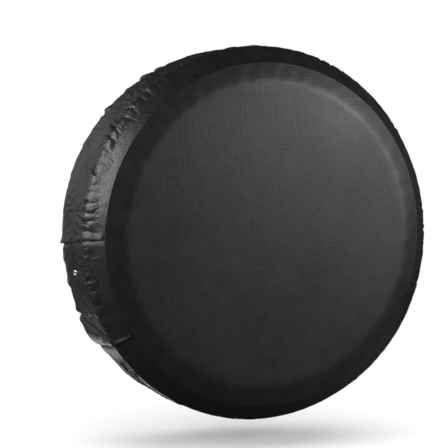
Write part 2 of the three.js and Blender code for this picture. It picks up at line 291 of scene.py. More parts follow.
# Folds that run on from the hem over the rear shoulder: angle, reach from the hem, height
LONG_FOLDS = [
    (108, 185, 2.6), (112, 215, 4.2), (117.5, 220, 4.6), (124, 180, 2.4), (133, 205, 4.4),
    (146, 180, 2.0), (156, 175, 1.6), (168, 170, 1.4), (183, 185, 2.0), (190.5, 195, 3.2),
    (199.5, 200, 3.6), (228, 190, 2.6), (241, 195, 3.0), (88, 190, 2.2), (76, 185, 2.8),
    (63, 200, 4.0), (57, 205, 3.4), (44, 200, 4.2), (36, 190, 2.4), (21, 190, 3.2), (11, 195, 3.6),
    (356, 190, 2.8), (344, 185, 2.6), (330, 195, 3.0), (312, 180, 2.4),
]
# Wrinkles that run round the tread under the roll: start angle, span, place, drift, height
STREAKS = [
    (211, 26, 18, 26, 2.0), (212, 30, 40, 20, -2.4), (213, 24, 58, 14, 2.2), (211, 34, 84, 6, -2.0),
    (214, 22, 104, -6, 2.0), (224, 34, 30, 12, -1.8), (232, 40, 66, -8, 2.0), (240, 36, 96, -14, -1.6),
    (246, 40, 22, 8, 1.4), (219, 18, 128, -16, 1.8), (215, 18, 70, 22, 1.8), (213, 16, 120, 8, -1.8),
    (221, 26, 50, -18, 1.6), (228, 28, 88, 14, 1.6),
]


def gathering(theta):
    return np.interp(theta % 360, *zip(*GATHER))


def random_creases(seen, spacing, reach, lean, seed):
    """Sorted crease angles, with each crease's reach, sideways lean, bend and strength."""
    random = np.random.default_rng(seed)
    angles = list(seen)
    angle = seen[-1] + random.uniform(*spacing)
    while angle < seen[0] + 360 - spacing[0]:
        angles.append(angle % 360)
        angle += random.uniform(*spacing)
    angles = np.sort(np.array(angles) % 360)
    count = len(angles)
    reaches = random.uniform(*reach, count)
    leans = random.uniform(-lean, lean, count)
    bends = random.normal(0, 1.2, count)
    strengths = random.uniform(0.35, 1.4, count)
    return angles, reaches, leans, bends, strengths


def fold_at_seam(strip, skirt):
    """Pillows gathered at the front seam: they fade before the face's edge, and soon on the skirt."""
    creases = random_creases(SEEN_CREASES, (2.2, 5.2), (18, 33), 8, 3)
    gathered = gathering(strip.theta)
    strip.off += gathered * pillows(strip, -strip.place, creases, 0.75, 6, 1.6)
    small = random_creases([0.4], (1.1, 3.4), (10, 22), 6, 4)
    strip.off += gathered * pillows(strip, -strip.place, small, 0.7, 5, 0.5)
    on_skirt = (creases[0], creases[1] * 0.36, *creases[2:])
    skirt.off += gathering(skirt.theta) * pillows(skirt, skirt.place, on_skirt, 1.0, 1, 1.5)
    random = np.random.default_rng(5)
    for angle, length, depth, lean in CROSSING_FOLDS:
        skirt.pinch(angle, -1, length * 1.5, depth, 2.4, lean=lean)
        strip.pinch(angle, 1, -length * 0.6, depth * 0.45, 1.6, lean=-lean * 0.6)
    for _ in range(420):
        angle = random.uniform(0, 360)
        height = random.choice([-1, 1]) * random.uniform(0.12, 0.5) * gathering(angle)
        place = -random.uniform(2, 32)
        length = random.uniform(5, 15)
        width = random.uniform(1.3, 2.6)
        strip.wrinkle(angle, place, length, width, height, random.uniform(-55, 55))


def fold_skirt(skirt):
    """Slack over the tread: soft swells, and wrinkles that mostly lie across the band."""
    tread = 1 - smooth(130, 175, skirt.place)
    skirt.off += 0.8 * tread * smooth(0, 30, skirt.place) * swell(skirt, 9, (4, 26), (90, 260), 5)
    random = np.random.default_rng(6)
    for _ in range(460):
        angle = random.uniform(0, 360)
        place = random.uniform(6, 150)
        length = random.uniform(16, 46)
        width = random.uniform(2.4, 5)
        height = random.choice([-1, 1]) * random.uniform(0.4, 1.5)
        skirt.wrinkle(angle, place, length, width, height, random.normal(0, 32))
    for fold in SKIRT_FOLDS:
        skirt.wrinkle(*fold)


def fold_hem(skirt):
    """Gathers that run out from the elastic over the tyre's back, calm behind the cord lock."""
    last = skirt.place.max()
    distance = last - skirt.place
    calm = 1 - 0.9 * bell(nearest_turn(skirt.theta - LOCK_ANGLE), 5)
    creases = random_creases([0.2], (2.2, 4.6), (60, 150), 8, 8)
    small = random_creases([0.9], (1.2, 3.0), (25, 60), 5, 9)
    skirt.off += calm * pillows(skirt, distance, creases, 0.45, 22, 5.2, 2.0)
    skirt.off += calm * pillows(skirt, distance, small, 0.7, 8, 1.2)
    skirt.off -= calm * 1.5 * (1 - smooth(10, 90, distance))
    for angle, reach, height in LONG_FOLDS:
        columns = skirt.near(angle, 80)
        u = nearest_turn(skirt.theta[:, columns] - angle) * ARC_MM
        run = smooth(12, 60, distance) * (1 - smooth(0.66, 1.0, distance / reach))
        skirt.off[:, columns] += height * run * (crest(u, 11, 4) - 0.45 * bell(u - 11, 5))
    skirt.off *= 0.2 + 0.8 * smooth(10, 34, distance)


def lap_closing_seam(panel):
    """The cross seam: the upper side laps over and stands proud of the lower one."""
    arc = panel.turn * ARC_MM
    below = bell(arc, 8)
    above = crest(arc - 360 * ARC_MM, 10, 1)
    bulge = 1 + 1.2 * bell(panel.place - 150, 30)
    fade = smooth(-50, -40, panel.place)
    panel.off += fade * bulge * (1.9 * above - 1.3 * below)


def pull_eyelet(panel, angle):
    """Creases run from the eyelet to the front seam, and the cloth lies flat under its flange."""
    u = panel.arc(angle)
    v = panel.place - EYELET_PLACE
    distance = np.hypot(u, v)
    for lean, depth in ((-18, 1.2), (4, 1.4), (20, 2.0)):
        t = -v / 74
        line = np.exp(-np.abs(u - lean * t) / 1.8) - 0.55 * bell(u - lean * t + 5, 3)
        panel.off -= depth * line * smooth(0.1, 0.3, t) * (1 - smooth(0.8, 1.15, t))
    panel.off += 0.6 * bell(distance - 15, 6)
    panel.off *= smooth(6.5, 14, distance)
    panel.off -= (1.4 - 0.2 * v) * (1 - smooth(6.5, 13, distance))


def sag_roll(panel):
    """Slack that has slid down the lower left: a roll, widest at the back, pointed at the face."""
    y = panel.profile[:, 1][:, None]
    top = np.interp(y, [-112, -86, -30, 55, 112], [208.2, 207.4, 205.3, 203.0, 202.2])
    foot = np.interp(y, [-112, -80, -30, 55, 112], [208.2, 208.9, 210.0, 212.3, 213.0])
    angle = panel.theta % 360
    t = (angle - top) / np.maximum(foot - top, 0.2)
    below_top = (angle - top) * ARC_MM
    below_foot = (angle - foot) * ARC_MM
    body = np.interp(y, [-112, -88, -40, 40, 76, 100, 116], [0, 1.0, 5.0, 8.5, 8.0, 3.5, 0])
    front = 1 - smooth(-86, -66, y)
    edge = smooth(-50, -43, panel.place)
    back = 1 - smooth(92, 116, y)
    panel.off += edge * back * (
        body * np.sin(np.pi * np.clip(0.12 + 0.88 * t, 0, 1)) ** 0.7
        + (1 - front) * 3.4 * crest(below_top, 5, 1.6)
        + front * 3.4 * crest(below_foot + 1, 6, 1.5)
        - 0.7 * bell(below_top + 11, 5) * (1 - front)
        - 3.0 * np.where(below_foot > 0, np.exp(-below_foot / 4.5), np.exp(below_foot / 1.6))
    )


def streak_bottom(skirt):
    """Long wrinkles that run round the tread below the roll."""
    theta = skirt.theta % 360
    zone = smooth(210, 214, theta) * (1 - smooth(262, 292, theta)) * (1 - smooth(120, 160, skirt.place))
    for start, span, place, drift, height in STREAKS:
        t = (theta - start) / span
        run = smooth(0, 0.2, t) * (1 - smooth(0.6, 1, t))
        path = place + drift * t + 2.5 * np.sin(7 * t + place)
        skirt.off += zone * height * run * crest(skirt.place - path, 5, 2.4)
    random = np.random.default_rng(12)
    for _ in range(90):
        angle = random.uniform(212, 262)
        place = random.uniform(6, 130)
        length = random.uniform(18, 44)
        width = random.uniform(1.8, 3.4)
        height = random.choice([-1, 1]) * random.uniform(0.3, 0.9)
        skirt.wrinkle(angle, place, length, width, height, 90 + random.normal(0, 14))


def fold_face(face):
    """The face lies nearly flat, with a faint ring where the tyre's sidewall touches it."""
    radius = face.profile[:, :1]
    inside = smooth(60, 180, radius) * (1 - smooth(250, 290, radius))
    face.off += 0.35 * inside * swell(face, 5, (1, 5), (300, 700), 9)
    face.off += 0.05 * bell(radius - 279, 2.4) * (0.6 + 0.6 * np.cos(np.radians(face.theta - 70)))
    sloped = smooth(296, 306, radius) * (1 - smooth(326, 336, radius))
    face.off += 0.25 * sloped * swell(face, 8, (20, 70), (60, 200), 10)
    face.off[:, -1] = face.off[:, 0]
    face.off[0] = face.off[0].mean()


def fill_lower_right(panel):
    """The band stands fuller round the front seam at the lower right, where the slack has gathered."""
    angles = [0, 4, 24, 250, 288, 308, 325, 345, 360]
    heights = [3, 2.6, 0, 0, 2, 5.5, 7, 5, 3]
    fullness = np.interp(panel.theta % 360, angles, heights)
    panel.off += fullness * bell(panel.place + 8, np.where(panel.place < -8, 20, 46))


def make_cloth():
    face = Panel(FACE_LINE, 3.0, 720)
    strip = Panel(STRIP_LINE, 1.2, 2160, ends_at_seam=True)
    skirt = Panel(SKIRT_LINE, 2.2, 1440)
    fold_at_seam(strip, skirt)
    fold_skirt(skirt)
    fold_hem(skirt)
    streak_bottom(skirt)
    for panel in (strip, skirt):
        fill_lower_right(panel)
        lap_closing_seam(panel)
        sag_roll(panel)
        for angle in DRAIN_ANGLES:
            pull_eyelet(panel, angle)
    edge_of_skirt = np.interp(strip.turn, skirt.turn, skirt.off[0])
    strip.off += (edge_of_skirt - strip.off[-1]) * smooth(-6, 0, strip.place)
    strip.off *= smooth(-53, -43, strip.place)
    for panel in (strip, skirt):
        panel.off -= 1.5 * bell(panel.place, 1.3)
    fold_face(face)
    return face, strip, skirt


# ---------------------------------------------------------------- meshes

def link(name, mesh):
    obj = bpy.data.objects.new(name, mesh)
    bpy.context.scene.collection.objects.link(obj)
    return obj


def finish_mesh(mesh, sharp=60):
    """Smooth shading, with edges kept sharp above an angle in degrees."""
    mesh.polygons.foreach_set("use_smooth", np.ones(len(mesh.polygons), bool))
    mesh.set_sharp_from_angle(angle=math.radians(sharp))
    mesh.update()


def mesh_piece(name, points, faces, sharp=60):
    mesh = bpy.data.meshes.new(name)
    mesh.from_pydata(points.tolist(), [], faces.tolist())
    finish_mesh(mesh, sharp)
    return link(name, mesh)


def quads_of(rows, columns):
    index = np.arange(rows * columns).reshape(rows, columns)
    return np.stack([index[:-1, :-1], index[1:, :-1], index[1:, 1:], index[:-1, 1:]], -1).reshape(-1, 4)


def ring_quads(rings, sides):
    """Faces between rings of points, where each ring is closed."""
    i, j = np.meshgrid(np.arange(rings - 1), np.arange(sides), indexing="ij")
    after = (j + 1) % sides
    corners = [i * sides + j, i * sides + after, (i + 1) * sides + after, (i + 1) * sides + j]
    return np.stack(corners, -1).reshape(-1, 4)


def grid_piece(name, points, u, v, skip=None):
    """A sheet from a grid of points, with UVs in metres: round the wheel, and along the cloth."""
    rows, columns = points.shape[:2]
    quads = quads_of(rows, columns)
    if skip is not None:
        quads = quads[~skip.ravel()[quads].any(1)]
    mesh = bpy.data.meshes.new(name)
    mesh.from_pydata(points.reshape(-1, 3).tolist(), [], quads.tolist())
    uv = np.stack(np.broadcast_arrays(u, v), -1).reshape(-1, 2) * MM
    layer = mesh.uv_layers.new(name="UVMap")
    layer.data.foreach_set("uv", uv[quads.ravel()].astype(np.float32).ravel())
    return link(name, mesh)


def apply_modifiers(obj):
    bpy.context.view_layer.update()
    graph = bpy.context.evaluated_depsgraph_get()
    mesh = bpy.data.meshes.new_from_object(obj.evaluated_get(graph), depsgraph=graph)
    obj.modifiers.clear()
    obj.data = mesh


def thicken(obj, thickness):
    """Gives a sheet its thickness inwards; the inner side gets its second material."""
    solid = obj.modifiers.new("thickness", "SOLIDIFY")
    solid.thickness = thickness
    solid.offset = -1
    solid.material_offset = 1
    apply_modifiers(obj)
    finish_mesh(obj.data)


def weld(obj):
    build = bmesh.new()
    build.from_mesh(obj.data)
    bmesh.ops.remove_doubles(build, verts=build.verts, dist=1e-6)
    build.to_mesh(obj.data)
    build.free()


def stitch_row(name, starts, ends, outward, thread):
    """One raised stitch from each start to its end: it dips into the cloth at both ends."""
    along = ends - starts
    length = np.linalg.norm(along, axis=1)[:, None]
    side = np.cross(along / length, outward)
    steps = np.array([0, 0.12, 0.35, 0.65, 0.88, 1])
    lift = np.array([-0.8, 0.35, 0.75, 0.75, 0.35, -0.8]) * thread / 2
    girth = np.array([0.55, 0.9, 1, 1, 0.9, 0.55]) * thread / 2
    sides = 6
    turn = np.linspace(0, 2 * math.pi, sides, endpoint=False)[:, None]
    centre = starts[:, None] + along[:, None] * steps[:, None] + outward[:, None] * lift[:, None]
    ring = outward[:, None, None] * np.cos(turn) + side[:, None, None] * np.sin(turn)
    points = centre[:, :, None] + ring * girth[:, None, None]
    first = np.arange(len(starts))[:, None, None] * len(steps) * sides
    quads = ring_quads(len(steps), sides) + first
    return mesh_piece(name, points.reshape(-1, 3), quads.reshape(-1, 4))


def tube_piece(name, points, radius, sides):
    """A round cord or wire along points in metres, with flat ends."""
    p = np.asarray(points, float)
    ahead = np.roll(p, -1, 0) - np.roll(p, 1, 0)
    ahead[0] = p[1] - p[0]
    ahead[-1] = p[-1] - p[-2]
    ahead /= np.linalg.norm(ahead, axis=1)[:, None]
    normal = np.zeros_like(p)
    guess = np.array([0, 1.0, 0]) if abs(ahead[0][1]) < 0.9 else np.array([1.0, 0, 0])
    for k, direction in enumerate(ahead):
        guess = guess - direction * (guess @ direction)
        guess /= np.linalg.norm(guess)
        normal[k] = guess
    other = np.cross(ahead, normal)
    turn = np.linspace(0, 2 * math.pi, sides, endpoint=False)[:, None]
    rings = p[:, None] + radius * (normal[:, None] * np.cos(turn) + other[:, None] * np.sin(turn))
    faces = ring_quads(len(p), sides).tolist()
    faces.append(list(range(sides)))
    faces.append(list(range((len(p) - 1) * sides, len(p) * sides)))
    mesh = bpy.data.meshes.new(name)
    mesh.from_pydata(rings.reshape(-1, 3).tolist(), [], faces)
    build = bmesh.new()
    build.from_mesh(mesh)
    bmesh.ops.recalc_face_normals(build, faces=build.faces)
    build.to_mesh(mesh)
    build.free()
    finish_mesh(mesh)
    return link(name, mesh)


# ---------------------------------------------------------------- materials

def new_material(name, color, roughness, metallic=0.0):
    material = bpy.data.materials.new(name)
    material.use_nodes = True
    shader = material.node_tree.nodes["Principled BSDF"]
    shader.inputs["Base Color"].default_value = (*color, 1)
    shader.inputs["Roughness"].default_value = roughness
    shader.inputs["Metallic"].default_value = metallic
    return material, material.node_tree.nodes, material.node_tree.links, shader


def noise(nodes, links, where, scale, detail=4, stretch=None):
    node = nodes.new("ShaderNodeTexNoise")
    node.inputs["Scale"].default_value = scale
    node.inputs["Detail"].default_value = detail
    source = where
    if stretch is not None:
        mapping = nodes.new("ShaderNodeMapping")
        mapping.inputs["Scale"].default_value = stretch
        links.new(where, mapping.inputs["Vector"])
        source = mapping.outputs["Vector"]
    links.new(source, node.inputs["Vector"])
    return node.outputs["Fac"]


def remap(nodes, links, value, low, high, to_low, to_high):
    node = nodes.new("ShaderNodeMapRange")
    node.inputs["From Min"].default_value = low
    node.inputs["From Max"].default_value = high
    node.inputs["To Min"].default_value = to_low
    node.inputs["To Max"].default_value = to_high
    links.new(value, node.inputs["Value"])
    return node.outputs["Result"]


def bump(nodes, links, height, strength, distance, under=None):
    node = nodes.new("ShaderNodeBump")
    node.inputs["Strength"].default_value = strength
    node.inputs["Distance"].default_value = distance
    links.new(height, node.inputs["Height"])
    if under is not None:
        links.new(under, node.inputs["Normal"])
    return node.outputs["Normal"]


def arithmetic(nodes, links, operation, *values):
    node = nodes.new("ShaderNodeMath")
    node.operation = operation
    for socket, value in zip(node.inputs, values):
        if isinstance(value, (int, float)):
            socket.default_value = value
        else:
            links.new(value, socket)
    return node.outputs["Value"]


def blend_colors(nodes, links, factor, first, second):
    node = nodes.new("ShaderNodeMix")
    node.data_type = "RGBA"
    node.inputs["A"].default_value = (*first, 1)
    node.inputs["B"].default_value = (*second, 1)
    links.new(factor, node.inputs["Factor"])
    return node.outputs["Result"]


def leatherette(name, tone, roughness, weave, crumple, scuffs):
    """Coated cloth: pebble grain, the backing's weave, soft crumpling, scuffs and specks of dust."""
    material, nodes, links, shader = new_material(name, (tone, tone, tone), roughness)
    where = nodes.new("ShaderNodeTexCoord").outputs["Object"]
    patches = noise(nodes, links, where, 7, 6)
    rough = remap(nodes, links, patches, 0.3, 0.7, roughness - 0.05, roughness + 0.06)
    thin = noise(nodes, links, where, 16, 3, (1, 1, 1.6))
    line = arithmetic(nodes, links, "ABSOLUTE", arithmetic(nodes, links, "SUBTRACT", thin, 0.5))
    scratch = remap(nodes, links, line, 0.0, 0.0035, 1, 0)
    zone = remap(nodes, links, noise(nodes, links, where, 5.5, 2), 0.58, 0.68, 0, scuffs)
    scuffed = arithmetic(nodes, links, "MULTIPLY", scratch, zone)
    specks = nodes.new("ShaderNodeTexVoronoi")
    specks.inputs["Scale"].default_value = 95
    links.new(where, specks.inputs["Vector"])
    dust = remap(nodes, links, specks.outputs["Distance"], 0.05, 0.1, 0.35 * scuffs, 0)
    marks = arithmetic(nodes, links, "ADD", scuffed, dust)
    mottled = remap(nodes, links, noise(nodes, links, where, 38, 5), 0.3, 0.7, 0, 0.12)
    lightened = arithmetic(nodes, links, "ADD", marks, mottled)
    plain = (tone * 0.9, tone * 0.9, tone * 0.92)
    color = blend_colors(nodes, links, lightened, plain, (0.09, 0.09, 0.09))
    links.new(color, shader.inputs["Base Color"])
    rougher = arithmetic(nodes, links, "MULTIPLY", scuffed, 0.12)
    links.new(arithmetic(nodes, links, "ADD", rough, rougher), shader.inputs["Roughness"])
    cells = nodes.new("ShaderNodeTexVoronoi")
    cells.feature = "DISTANCE_TO_EDGE"
    cells.inputs["Scale"].default_value = 620
    links.new(where, cells.inputs["Vector"])
    upright = noise(nodes, links, where, 1, 3, (520, 20, 14))
    level = noise(nodes, links, where, 1, 3, (14, 20, 520))
    threads = arithmetic(nodes, links, "ADD", upright, level)
    normal = bump(nodes, links, noise(nodes, links, where, 85, 5), crumple, 0.0012)
    normal = bump(nodes, links, threads, weave, 0.0003, normal)
    normal = bump(nodes, links, noise(nodes, links, where, 300, 3), 0.35, 0.0003, normal)
    normal = bump(nodes, links, cells.outputs["Distance"], 0.3, 0.0002, normal)
    normal = bump(nodes, links, scuffed, 0.4, 0.0002, normal)
    links.new(normal, shader.inputs["Normal"])
    return material


def knitted(name, tone):
    """The cloth's inner side: a dull knitted backing with fine ribs."""
    material, nodes, links, shader = new_material(name, (tone, tone, tone), 0.9)
    where = nodes.new("ShaderNodeTexCoord").outputs["Object"]
    ribs = noise(nodes, links, where, 1, 2, (900, 900, 240))
    fluff = noise(nodes, links, where, 420, 4)
    shade = remap(nodes, links, ribs, 0.3, 0.7, 0, 1)
    color = blend_colors(nodes, links, shade, (tone * 0.7,) * 3, (tone * 1.3,) * 3)
    links.new(color, shader.inputs["Base Color"])
    normal = bump(nodes, links, ribs, 0.5, 0.0004)
    links.new(bump(nodes, links, fluff, 0.5, 0.0004, normal), shader.inputs["Normal"])
    return material


def woven(name, tone, roughness, scale, bands, strength=0.6):
    """Threads that cross: for tapes, sewing thread and the braided cord."""
    material, nodes, links, shader = new_material(name, (tone, tone, tone), roughness)
    where = nodes.new("ShaderNodeTexCoord").outputs["Object"]
    waves = []
    for direction in ("X", "DIAGONAL"):
        wave = nodes.new("ShaderNodeTexWave")
        wave.bands_direction = direction
        wave.inputs["Scale"].default_value = bands
        wave.inputs["Distortion"].default_value = 2.5
        wave.inputs["Detail"].default_value = 2
        wave.inputs["Detail Scale"].default_value = 2
        links.new(where, wave.inputs["Vector"])
        waves.append(wave.outputs["Fac"])
    crossed = arithmetic(nodes, links, "MULTIPLY", *waves)
    fibre = noise(nodes, links, where, scale, 4)
    shade = arithmetic(nodes, links, "ADD", crossed, arithmetic(nodes, links, "MULTIPLY", fibre, 0.5))
    color = blend_colors(nodes, links, shade, (tone * 0.6,) * 3, (tone * 1.5,) * 3)
    links.new(color, shader.inputs["Base Color"])
    normal = bump(nodes, links, crossed, strength, 0.0003)
    links.new(bump(nodes, links, fibre, 0.4, 0.0002, normal), shader.inputs["Normal"])
    return material


def hard(name, color, roughness, metallic, grain, relief, wear):
    """Metal or moulded plastic: uneven polish, fine texture, and patches of another shade."""
    material, nodes, links, shader = new_material(name, color, roughness, metallic)
    where = nodes.new("ShaderNodeTexCoord").outputs["Object"]
    polish = noise(nodes, links, where, 180, 5)
    uneven = remap(nodes, links, polish, 0.3, 0.7, roughness - 0.06, roughness + 0.1)
    links.new(uneven, shader.inputs["Roughness"])
    patch = remap(nodes, links, noise(nodes, links, where, 260, 4), 0.45, 0.75, 0, 1)
    worn = tuple(c * wear for c in color)
    links.new(blend_colors(nodes, links, patch, color, worn), shader.inputs["Base Color"])
    fine = noise(nodes, links, where, grain, 3)
    links.new(bump(nodes, links, fine, relief, 0.0001), shader.inputs["Normal"])
    return material


FACE_CLOTH = leatherette("face_leatherette", 0.012, 0.47, 0.55, 0.1, 1.0)
STRIP_CLOTH = leatherette("strip_leatherette", 0.012, 0.38, 0.2, 0.6, 0.3)
# The skirt's tone, a little lighter than the face's and the strip's, brightens the tread and the hem
# binding as more light would: painted light
SKIRT_CLOTH = leatherette("skirt_leatherette", 0.014, 0.42, 0.2, 0.8, 0.3)
BACKING = knitted("knitted_backing", 0.045)
TAPE = woven("tape_weave", 0.02, 0.85, 900, 260)
THREAD = woven("sewing_thread", 0.04, 0.5, 1500, 700, 0.4)
CORD = woven("elastic_braid", 0.016, 0.75, 1100, 320, 0.8)
NICKEL = hard("nickel", (0.8, 0.79, 0.76), 0.36, 1.0, 900, 0.1, 0.85)
PLASTIC = hard("moulded_black_plastic", (0.018, 0.018, 0.019), 0.42, 0.0, 1600, 0.35, 1.5)
STEEL = hard("spring_steel", (0.55, 0.55, 0.56), 0.32, 1.0, 1200, 0.15, 0.7)


# ---------------------------------------------------------------- camera, light and floor

def aim(obj, target):
    direction = Vector(target) - obj.location
    obj.rotation_mode = "QUATERNION"
    obj.rotation_quaternion = direction.to_track_quat("-Z", "Y")


def line_of_sight():
    """The direction from the wheel's centre to the camera."""
    azimuth, elevation, _ = SIGHT
    level = math.cos(elevation)
    return Vector((math.sin(azimuth) * level, -math.cos(azimuth) * level, math.sin(elevation)))


def make_camera():
    azimuth, _, roll = SIGHT
    back = line_of_sight()
    right = Vector((math.cos(azimuth), math.sin(azimuth), 0))
    up = back.cross(right)
    across = math.cos(roll) * right + math.sin(roll) * up
    upward = math.cos(roll) * up - math.sin(roll) * right
    data = bpy.data.cameras.new("camera")
    data.lens = LENS_MM
    data.sensor_width = SENSOR_MM
    data.shift_x = SHIFT_X
    data.shift_y = SHIFT_Y
    camera = bpy.data.objects.new("camera", data)
    bpy.context.scene.collection.objects.link(camera)
    turned = Matrix((across, upward, back)).transposed().to_4x4()
    camera.matrix_world = Matrix.Translation(back * CAMERA_DISTANCE) @ turned
    bpy.context.scene.camera = camera


def area_light(name, place, target, size, power):
    data = bpy.data.lights.new(name, "AREA")
    data.shape = "RECTANGLE"
    data.size, data.size_y = size
    data.energy = power
    light = bpy.data.objects.new(name, data)
    bpy.context.scene.collection.objects.link(light)
    light.location = place
    light.visible_camera = False
    aim(light, target)
    return light


def make_light(floor):
    """Soft boxes, a lamp for the floor's bounce that the floor ignores, and one for the floor alone."""
    area_light("key", (1.1, -1.2, 0.4), (0.1, -0.12, 0.05), (0.8, 0.7), 19.5)
    area_light("left_box", (-1.75, -0.3, 0.95), (-0.3, -0.05, 0.1), (0.6, 1.1), 24)
    area_light("side_box", (-2.0, 0.8, 0.75), (-0.35, 0, 0.1), (0.9, 1.1), 10)
    area_light("rear_box", (-0.8, 2.1, 0.7), (-0.2, 0, 0.1), (1.4, 1.2), 2)
    area_light("low_sweep", (0.3, 1.8, -0.18), (-0.15, 0, -0.3), (1.3, 0.35), 4)
    bounce = area_light("floor_bounce", (-0.1, 1.1, -0.75), (-0.2, 0, -0.3), (0.9, 0.3), 2)
    area_light("low_fill", (-1.3, 0.1, -0.36), (-0.25, 0.05, -0.25), (0.9, 0.12), 0.5)
    not_floor = bpy.data.collections.new("passed_by_bounce")
    not_floor.objects.link(floor)
    not_floor.collection_objects[0].light_linking.link_state = "EXCLUDE"
    bounce.light_linking.blocker_collection = not_floor
    bounce.light_linking.receiver_collection = not_floor
    below = Vector(floor.matrix_basis.translation)
    overhead = area_light("overhead", -OVERHEAD_LIFT * below, below, (2.6, 2.6), 72)
    only_floor = bpy.data.collections.new("lit_from_overhead")
    only_floor.objects.link(floor)
    overhead.light_linking.receiver_collection = only_floor
    world = bpy.data.worlds.new("studio")
    bpy.context.scene.world = world
    world.use_nodes = True
    nodes = world.node_tree.nodes
    links = world.node_tree.links
    nodes.clear()
    output = nodes.new("ShaderNodeOutputWorld")
    dim = nodes.new("ShaderNodeBackground")
    white = nodes.new("ShaderNodeBackground")
    dim.inputs["Color"].default_value = (1, 1, 1, 1)
    dim.inputs["Strength"].default_value = WORLD_LIGHT
    white.inputs["Color"].default_value = (1, 1, 1, 1)
    white.inputs["Strength"].default_value = 1.0
    seen = nodes.new("ShaderNodeLightPath")
    mix = nodes.new("ShaderNodeMixShader")
    links.new(seen.outputs["Is Camera Ray"], mix.inputs["Fac"])
    links.new(dim.outputs["Background"], mix.inputs[1])
    links.new(white.outputs["Background"], mix.inputs[2])
    links.new(mix.outputs["Shader"], output.inputs["Surface"])
    bpy.context.scene.view_settings.view_transform = "Standard"


def make_floor():
    """A round pale floor that fades out into the white studio."""
    mesh = bpy.data.meshes.new("floor")
    build = bmesh.new()
    bmesh.ops.create_circle(build, cap_ends=True, segments=96, radius=FLOOR_RADIUS)
    build.to_mesh(mesh)
    build.free()
    floor = link("floor", mesh)
    tilt = Matrix.Rotation(FLOOR_TILT, 4, line_of_sight())
    floor.matrix_world = tilt @ Matrix.Translation((0, 0, -FLOOR_DROP))
    material, nodes, links, shader = new_material("pale_floor", (0.5, 0.5, 0.5), 0.9)
    shader.inputs["Emission Color"].default_value = (1, 1, 1, 1)
    seen = nodes.new("ShaderNodeLightPath")
    glow = nodes.new("ShaderNodeMath")
    glow.operation = "MULTIPLY"
    glow.inputs[1].default_value = FLOOR_GLOW
    links.new(seen.outputs["Is Camera Ray"], glow.inputs[0])
    links.new(glow.outputs["Value"], shader.inputs["Emission Strength"])
    where = nodes.new("ShaderNodeTexCoord")
    length = nodes.new("ShaderNodeVectorMath")
    length.operation = "LENGTH"
    fade = nodes.new("ShaderNodeMapRange")
    fade.interpolation_type = "SMOOTHSTEP"
    fade.inputs["From Min"].default_value = FLOOR_FADE[0]
    fade.inputs["From Max"].default_value = FLOOR_FADE[1]
    clear = nodes.new("ShaderNodeBsdfTransparent")
    dark = nodes.new("ShaderNodeBsdfDiffuse")
    dark.inputs["Color"].default_value = (0.06, 0.06, 0.06, 1)
    pale = nodes.new("ShaderNodeMixShader")
    mix = nodes.new("ShaderNodeMixShader")
    links.new(seen.outputs["Is Camera Ray"], pale.inputs["Fac"])
    links.new(dark.outputs["BSDF"], pale.inputs[1])
    links.new(shader.outputs["BSDF"], pale.inputs[2])
    links.new(where.outputs["Object"], length.inputs[0])
    links.new(length.outputs["Value"], fade.inputs["Value"])
    links.new(fade.outputs["Result"], mix.inputs["Fac"])
    links.new(pale.outputs["Shader"], mix.inputs[1])
    links.new(clear.outputs["BSDF"], mix.inputs[2])
    links.new(mix.outputs["Shader"], nodes["Material Output"].inputs["Surface"])
    mesh.materials.append(material)
    return floor


make_camera()
make_light(make_floor())

# ---------------------------------------------------------------- the cover's cloth

face, strip, skirt = make_cloth()


def add_piece(piece, node, slot, *materials, body="cover"):
    for material in materials:
        piece.data.materials.append(material)
    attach(piece, body)
    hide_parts(node)
    return piece


def around(panel, radius):
    """Each column's distance round the wheel at a radius, in millimetres, for UVs."""
    return np.radians(panel.turn) * radius


drain_distance = np.minimum(
    *(np.hypot(skirt.arc(a), skirt.place - EYELET_PLACE) for a in DRAIN_ANGLES)
)
drain_holes = drain_distance < DRAIN_HOLE_MM

face_disc = grid_piece("face_disc", face.grid(), around(face, CROWN_MM), face.place)
weld(face_disc)
shoulder_strip = grid_piece("shoulder_strip", strip.grid(), around(strip, CROWN_MM), strip.place)
skirt_turn = around(skirt, CROWN_MM)
tread_skirt = grid_piece("tread_skirt", skirt.grid(), skirt_turn, skirt.place, drain_holes)
for piece, node, material in (
    (face_disc, "face_panel", FACE_CLOTH),
    (shoulder_strip, "front_strip", STRIP_CLOTH),
    (tread_skirt, "rear_skirt", SKIRT_CLOTH),
):
    add_piece(piece, node, "leatherette", material, BACKING)
    thicken(piece, CLOTH_MM * MM)

# The casing is ruffled by the elastic inside it, and open where the cord comes out
casing = Panel(HEM_LINE, 1.6, 1440)
ruffles = random_creases([0.5], (1.3, 2.6), (900, 1000), 0, 14)
calm_hem = 1 - 0.95 * bell(nearest_turn(casing.theta - LOCK_ANGLE), 4.5)
casing.off += 0.9 * calm_hem * (pillows(casing, casing.place, ruffles, 1, 1, 1.0) - 0.5)
casing.off[:, -1] = casing.off[:, 0]
cord_exit = (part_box("cord_eyelet_right")[0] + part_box("cord_eyelet_right")[1]) / 2
casing_points = casing.grid()
exit_gap = np.hypot(np.abs(casing_points[..., 0]) - cord_exit.x, casing_points[..., 2] - cord_exit.z)
at_exit = (exit_gap < CORD_HOLE_MM * MM) & (casing_points[..., 1] > 111 * MM)
hem_binding = grid_piece("hem_binding", casing_points, around(casing, 235), casing.place, at_exit)
weld(hem_binding)
add_piece(hem_binding, "hem_casing", "leatherette", SKIRT_CLOTH, BACKING)
thicken(hem_binding, CASING_MM * MM)

